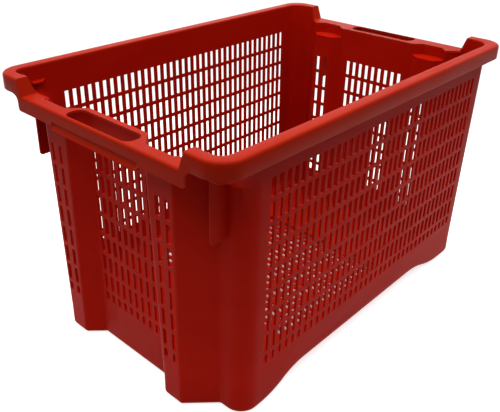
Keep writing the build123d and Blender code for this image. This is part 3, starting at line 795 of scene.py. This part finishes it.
def rim_profile():
    """The L from the skirt's lower edge up, over, in, and back: (line it hangs on, in from it, down)."""
    points = [("outer", 0.0, RIM_SKIRT - SKIRT_ROUNDING)]
    for step in range(6):
        turn = math.radians(90 * step / 5)
        points.append(("outer", RIM_EDGE * (1 - math.cos(turn)), RIM_EDGE * (1 - math.sin(turn))))
    for step in range(5):
        turn = math.radians(90 * step / 4)
        points.append(("inner", -RIM_INNER * (1 - math.sin(turn)), RIM_INNER * (1 - math.cos(turn))))
    points.append(("inner", 0.0, RIM_THICK))
    points += [("outer", inward * MM, down * MM) for inward, down in CHANNEL]
    return points + points[:1]


def corner_stops(end, wall, radius):
    """Stops from an end rim round a corner, on the rim's outline and on the wall's inner face."""
    wall_out = reach(wall, rim_under)
    wall_side = reach(side_wall, rim_under)
    stops = [RimStop((END, END_HALF), (wall_out - WALL, END_HALF), 0.0, end)]
    for step in range(CORNER_STEPS + 1):
        turn = math.radians(90 * step / CORNER_STEPS)
        cos, sin = math.cos(turn), math.sin(turn)
        outer = (END - RIM_CORNER + RIM_CORNER * cos, SIDE - RIM_CORNER + RIM_CORNER * sin)
        inner = (wall_out - radius + (radius - WALL) * cos, wall_side - radius + (radius - WALL) * sin)
        stops.append(RimStop(outer, inner, turn, end))
    return stops


def rim_place(side):
    """Puts a point of the rim's profile in its place at a stop."""
    def place(stop, point):
        line, inward, down = point
        out, across = stop.outer if line == "outer" else stop.inner
        out -= inward * math.cos(stop.turn)
        across -= inward * math.sin(stop.turn)
        return Vector((stop.end * out, side * across, HEIGHT - down))
    return place


near_stops = corner_stops(NEAR, near_post, COLLAR_RADIUS)
far_stops = corner_stops(FAR, far_corner, CORNER_RADIUS)
for name, side in SIDES.items():
    stops = near_stops + far_stops[::-1]
    if side == BACK:
        stops = stops[::-1]
    piece = sheet("long_rim_" + name, stops, rim_profile(), rim_place(side), is_closed)
    bpy.ops.object.mode_set(mode="EDIT")
    bpy.ops.mesh.select_mode(type="EDGE")
    bpy.ops.mesh.select_all(action="DESELECT")
    bpy.ops.mesh.select_non_manifold(extend=False)
    bpy.ops.mesh.edge_face_add()
    bpy.ops.mesh.select_all(action="SELECT")
    bpy.ops.mesh.normals_make_consistent(inside=False)
    bpy.ops.object.mode_set(mode="OBJECT")
    bpy.ops.object.shade_smooth_by_angle(angle=math.radians(40))
    dress(piece, sheen_rim_plastic, "rim_" + name, "rim_corner_near_" + name, "rim_corner_far_" + name)


# End rims. The rim drops into a wide notch at each end and widens into a plate over the posts; a hand
# hole is cut through it, and under the grip its skirt is deeper, with a lip that flares out again.

HOLE_OUT = END - 4.0 * MM
HOLE_IN = HOLE_OUT - 25.0 * MM
HOLE_HALF = 57.5 * MM
HOLE_RADIUS = 10.0 * MM
END_SKIRT = 19.1 * MM
GRIP_SKIRT = 24.0 * MM
GRIP_HALF = 75.0 * MM
GRIP_RUN = 5.0 * MM
LIP_FLARE = [(-1.6, 0.0), (-1.4, 0.9), (-0.4, 2.0), (1.0, 4.6), (1.9, 7.6), (1.6, 9.4), (0.2, 10.4)]
LIP = 4.3 * MM
HOLE_FADE = 10.0 * MM
OUTER_LINE = 0.66
INNER_LINE = 0.33
GRIP_EDGE = 0.9 * MM
INNER_LAP = 1.0 * MM
STEP_RADIUS = 9.0 * MM
STEP_FOOT = 4.0 * MM
step_line = END_HALF - STEP_RADIUS
step_high = HEIGHT - RIM_SKIRT - STEP_RADIUS


def smooth(share):
    share = min(max(share, 0.0), 1.0)
    return share * share * (3 - 2 * share)


def rim_top(across):
    return float(np.interp(across, [NOTCH_LOW, NOTCH_HIGH], [low_top, HEIGHT]))


def grip_share(across):
    """1 under the grip, 0 beyond it."""
    return smooth((GRIP_HALF + GRIP_RUN - across) / GRIP_RUN)


def skirt_low(across):
    """Lower edge of the skirt: deepest under the grip, and rounded up to the long rim at its ends."""
    if across > step_line + SEAM:
        return step_high + math.sqrt(STEP_RADIUS ** 2 - (END_HALF - across) ** 2)
    low = low_top - END_SKIRT - (GRIP_SKIRT - END_SKIRT) * grip_share(across)
    past = min(max(across - step_line + STEP_FOOT, 0.0), STEP_FOOT)
    return low + STEP_FOOT - math.sqrt(STEP_FOOT ** 2 - past ** 2)


def hole_bulge(across):
    """How far the hole's long edges have drawn in at that distance across."""
    past = min(max(across - HOLE_HALF + HOLE_RADIUS, 0.0), HOLE_RADIUS)
    return HOLE_RADIUS - math.sqrt(HOLE_RADIUS ** 2 - past ** 2)


def end_rim_levels():
    """Levels across an end rim, from the lip under the skirt, up and over to the plate's inner edge."""
    levels = [("lip", inward * MM, up * MM) for inward, up in LIP_FLARE]
    levels.append(("step", 0.0, 0.0))
    for step in range(6):
        turn = math.radians(90 * step / 5)
        levels.append(("edge", RIM_EDGE * (1 - math.cos(turn)), RIM_EDGE * (1 - math.sin(turn))))
    return levels + [("hole_out", 0.0, 0.0), ("hole_in", 0.0, 0.0), ("inner", 0.0, 0.0)]


def end_rim_place(end, contour):
    """Puts a corner of an end rim in its place; contour is the plate's inner edge, as (out, across)."""
    outs, acrosses = zip(*contour)

    def place(stop, level):
        across, low = abs(stop[0]), stop[1]
        kind, inward, up = level
        top = rim_top(across)
        inner = float(np.interp(across, acrosses, outs))
        past = smooth((across - HOLE_HALF) / HOLE_FADE)
        width = END - RIM_EDGE - inner
        if kind == "lip":
            share = grip_share(across)
            out, z = END - inward * share, low + up * share
        elif kind == "step":
            out, z = END, max(low, step_high)
        elif kind == "edge":
            out, z = END - inward, top - up
        elif kind == "hole_out":
            out = (HOLE_OUT - hole_bulge(across)) * (1 - past) + (inner + width * OUTER_LINE) * past
            z = top
        elif kind == "hole_in":
            out = (HOLE_IN + hole_bulge(across)) * (1 - past) + (inner + width * INNER_LINE) * past
            z = top
        else:
            out, z = inner, top
        return Vector((end * out, stop[0], z))
    return place


def end_rim_seam(end, contour):
    """Tells where an end rim runs on: into the long rims, and under its inner edge into the walls."""
    outs, acrosses = zip(*contour)

    def is_seam(a, b):
        mid = (a + b) / 2
        inner = float(np.interp(abs(mid.y), acrosses, outs))
        at_corner = min(abs(a.y), abs(b.y)) > END_HALF - SEAM
        under = end * mid.x < inner + INNER_LAP and mid.z < rim_top(abs(mid.y)) - RIM_THICK / 2
        return at_corner or under
    return is_seam


def end_rim_stops(contour, end):
    """Stops across an end rim as (place, lower edge of the skirt there), in order round the crate."""
    places = {0.0, NOTCH_LOW, NOTCH_HIGH, HOLE_HALF, END_HALF, step_line}
    places |= {across for out, across in contour}
    hole_turn = HOLE_HALF - HOLE_RADIUS
    places |= {hole_turn + HOLE_RADIUS * math.sin(math.radians(15 * step)) for step in range(6)}
    places |= {GRIP_HALF + GRIP_RUN * step / 5 for step in range(6)}
    places |= {step_line - STEP_FOOT * (1 - math.sin(math.radians(22.5 * step))) for step in range(4)}
    places |= {END_HALF - STEP_RADIUS * math.cos(math.radians(18 * step)) for step in range(1, 5)}
    half = sorted([(across, skirt_low(across)) for across in places] + [(step_line, step_high)])
    stops = [(-across, low) for across, low in half[:0:-1]] + half
    return stops if end == FAR else stops[::-1]


near_lip = meet(near_post, near_slant, low_under, WALL)
near_cheek = reach(near_post, rim_under) - WALL
near_contour = [panel_turn(low_under, WALL)]
near_contour += [spot(low_under, WALL) for spot in bend(near_return, near_post, POST_ROUNDING, 6)]
near_contour += [near_lip, (near_lip[0] - LIP, near_lip[1] + LIP), (near_lip[0] - LIP, NOTCH_LOW)]
near_contour += [(near_cheek, NOTCH_HIGH), (near_cheek, END_HALF)]
far_cheek = reach(far_corner, rim_under) - WALL
far_contour = [spot(low_under, WALL) for spot in pocket_spots]
far_contour += [meet(far_slant, far_corner, low_under, WALL), (far_cheek, NOTCH_HIGH), (far_cheek, END_HALF)]

for name, end, contour in (("near", NEAR, near_contour), ("far", FAR, far_contour)):
    stops = end_rim_stops(contour, end)
    levels = end_rim_levels()
    hole_level = len(levels) - 3

    def is_hole(i, j):
        return j == hole_level and max(abs(stops[i][0]), abs(stops[i + 1][0])) < HOLE_HALF + SEAM

    piece = sheet("end_rim_" + name, stops, levels, end_rim_place(end, contour), is_hole)
    thicken(piece, RIM_THICK)
    round_edges(piece, GRIP_EDGE, 2, end_rim_seam(end, contour))
    dress(piece, sheen_rim_plastic, "rim_" + name)


# Stage. A white floor sheet ends a little way round the crate and keeps its own shade under it, in a dark
# studio that the camera and reflections see as white; a large soft lamp hangs overhead, a weak one behind.

LAMP_COLOUR = (1.0, 0.94, 0.87)


def seen_rays(nodes, link):
    """Socket that is 1 for rays from the camera, from reflections and through glass, and 0 for others."""
    ray = nodes.new("ShaderNodeLightPath")
    mirrored = nodes.new("ShaderNodeMath")
    mirrored.operation = "MAXIMUM"
    seen = nodes.new("ShaderNodeMath")
    seen.operation = "MAXIMUM"
    link(ray.outputs["Is Glossy Ray"], mirrored.inputs[0])
    link(ray.outputs["Is Transmission Ray"], mirrored.inputs[1])
    link(ray.outputs["Is Camera Ray"], seen.inputs[0])
    link(mirrored.outputs["Value"], seen.inputs[1])
    return seen.outputs["Value"]


bpy.ops.object.select_all(action="DESELECT")
bpy.ops.mesh.primitive_plane_add(size=40)
ground = bpy.context.object
ground.name = ground.data.name = "ground"
paper = bpy.data.materials.new("paper")
paper.use_nodes = True
nodes = paper.node_tree.nodes
link = paper.node_tree.links.new
diffuse = nodes["Principled BSDF"]
diffuse.inputs["Roughness"].default_value = 0.9
diffuse.inputs["Specular IOR Level"].default_value = 0.0
glow = nodes.new("ShaderNodeEmission")
glow.inputs["Color"].default_value = (1.0, 1.0, 1.0, 1.0)
where = nodes.new("ShaderNodeTexCoord")
split = nodes.new("ShaderNodeSeparateXYZ")
link(where.outputs["Object"], split.inputs["Vector"])
clear = nodes.new("ShaderNodeMath")
clear.operation = "MAXIMUM"
for place, axis, shaded, open_floor in ((0, "X", 0.20, 0.24), (1, "Y", 0.125, 0.155)):
    distance = nodes.new("ShaderNodeMath")
    distance.operation = "ABSOLUTE"
    edge = nodes.new("ShaderNodeMapRange")
    edge.inputs["From Min"].default_value = shaded
    edge.inputs["From Max"].default_value = open_floor
    edge.inputs["To Max"].default_value = 0.80
    link(split.outputs[axis], distance.inputs[0])
    link(distance.outputs["Value"], edge.inputs["Value"])
    link(edge.outputs["Result"], clear.inputs[place])
away = nodes.new("ShaderNodeVectorMath")
away.operation = "LENGTH"
fade = nodes.new("ShaderNodeMapRange")
fade.interpolation_type = "SMOOTHSTEP"
fade.inputs["From Min"].default_value = 0.55
fade.inputs["From Max"].default_value = 1.0
sheet_colour = nodes.new("ShaderNodeMix")
sheet_colour.data_type = "RGBA"
sheet_colour.inputs["A"].default_value = (0.95, 0.95, 0.95, 1.0)
sheet_colour.inputs["B"].default_value = (0.03, 0.03, 0.03, 1.0)
whiter = nodes.new("ShaderNodeMath")
whiter.operation = "MULTIPLY_ADD"
whiter.inputs[1].default_value = 0.25
link(where.outputs["Object"], away.inputs[0])
link(away.outputs["Value"], fade.inputs["Value"])
link(fade.outputs["Result"], sheet_colour.inputs["Factor"])
link(sheet_colour.outputs["Result"], diffuse.inputs["Base Color"])
link(fade.outputs["Result"], whiter.inputs[0])
link(clear.outputs["Value"], whiter.inputs[2])
lift = nodes.new("ShaderNodeMath")
lift.operation = "MULTIPLY"
both = nodes.new("ShaderNodeAddShader")
link(seen_rays(nodes, link), lift.inputs[0])
link(whiter.outputs["Value"], lift.inputs[1])
link(lift.outputs["Value"], glow.inputs["Strength"])
link(diffuse.outputs["BSDF"], both.inputs[0])
link(glow.outputs["Emission"], both.inputs[1])
link(both.outputs["Shader"], nodes["Material Output"].inputs["Surface"])
ground.data.materials.append(paper)

world = bpy.data.worlds.new("studio")
world.use_nodes = True
bpy.context.scene.world = world
nodes = world.node_tree.nodes
link = world.node_tree.links.new
sky = nodes["Background"]
sky.inputs["Color"].default_value = (1.0, 1.0, 1.0, 1.0)
bright = nodes.new("ShaderNodeMapRange")
bright.inputs["To Min"].default_value = 0.10
bright.inputs["To Max"].default_value = 1.0
link(seen_rays(nodes, link), bright.inputs["Value"])
link(bright.outputs["Result"], sky.inputs["Strength"])


def soft_lamp(name, place, aim, size, power):
    """A square soft box at a place, turned towards a point."""
    bpy.ops.object.light_add(type="AREA", location=place)
    lamp = bpy.context.object
    lamp.name = lamp.data.name = name
    lamp.data.shape = "SQUARE"
    lamp.data.size = size
    lamp.data.energy = power
    lamp.data.color = LAMP_COLOUR
    lamp.rotation_euler = (Vector(aim) - Vector(place)).to_track_quat("-Z", "Y").to_euler()


soft_lamp("overhead", (-0.12, 0.12, 1.9), (-0.12, 0.12, 0.2), 2.6, 53)
soft_lamp("behind", (1.7, 1.45, 1.0), (0, 0, 0.35), 1.5, 3.5)

view = bpy.data.cameras.new("photo_camera")
camera = bpy.data.objects.new("photo_camera", view)
bpy.context.scene.collection.objects.link(camera)
bpy.context.scene.camera = camera
view.sensor_width = 36.0
view.lens = 47.669
view.shift_y = -0.081
view.clip_start = 0.01
azimuth = math.radians(-48.1482)
elevation = math.radians(25.7032)
roll = math.radians(1.1755)
flat = math.cos(elevation)
back = Vector((math.sin(azimuth) * flat, -math.cos(azimuth) * flat, math.sin(elevation)))
level_right = Vector((math.cos(azimuth), math.sin(azimuth), 0.0))
level_up = back.cross(level_right)
right = level_right * math.cos(roll) + level_up * math.sin(roll)
up = level_up * math.cos(roll) - level_right * math.sin(roll)
turned = Matrix((right, up, back)).transposed().to_4x4()
eye = Vector((-0.673187, -0.566147, 0.612162))
camera.matrix_world = Matrix.Translation(eye) @ turned
bpy.context.scene.view_settings.view_transform = "Standard"
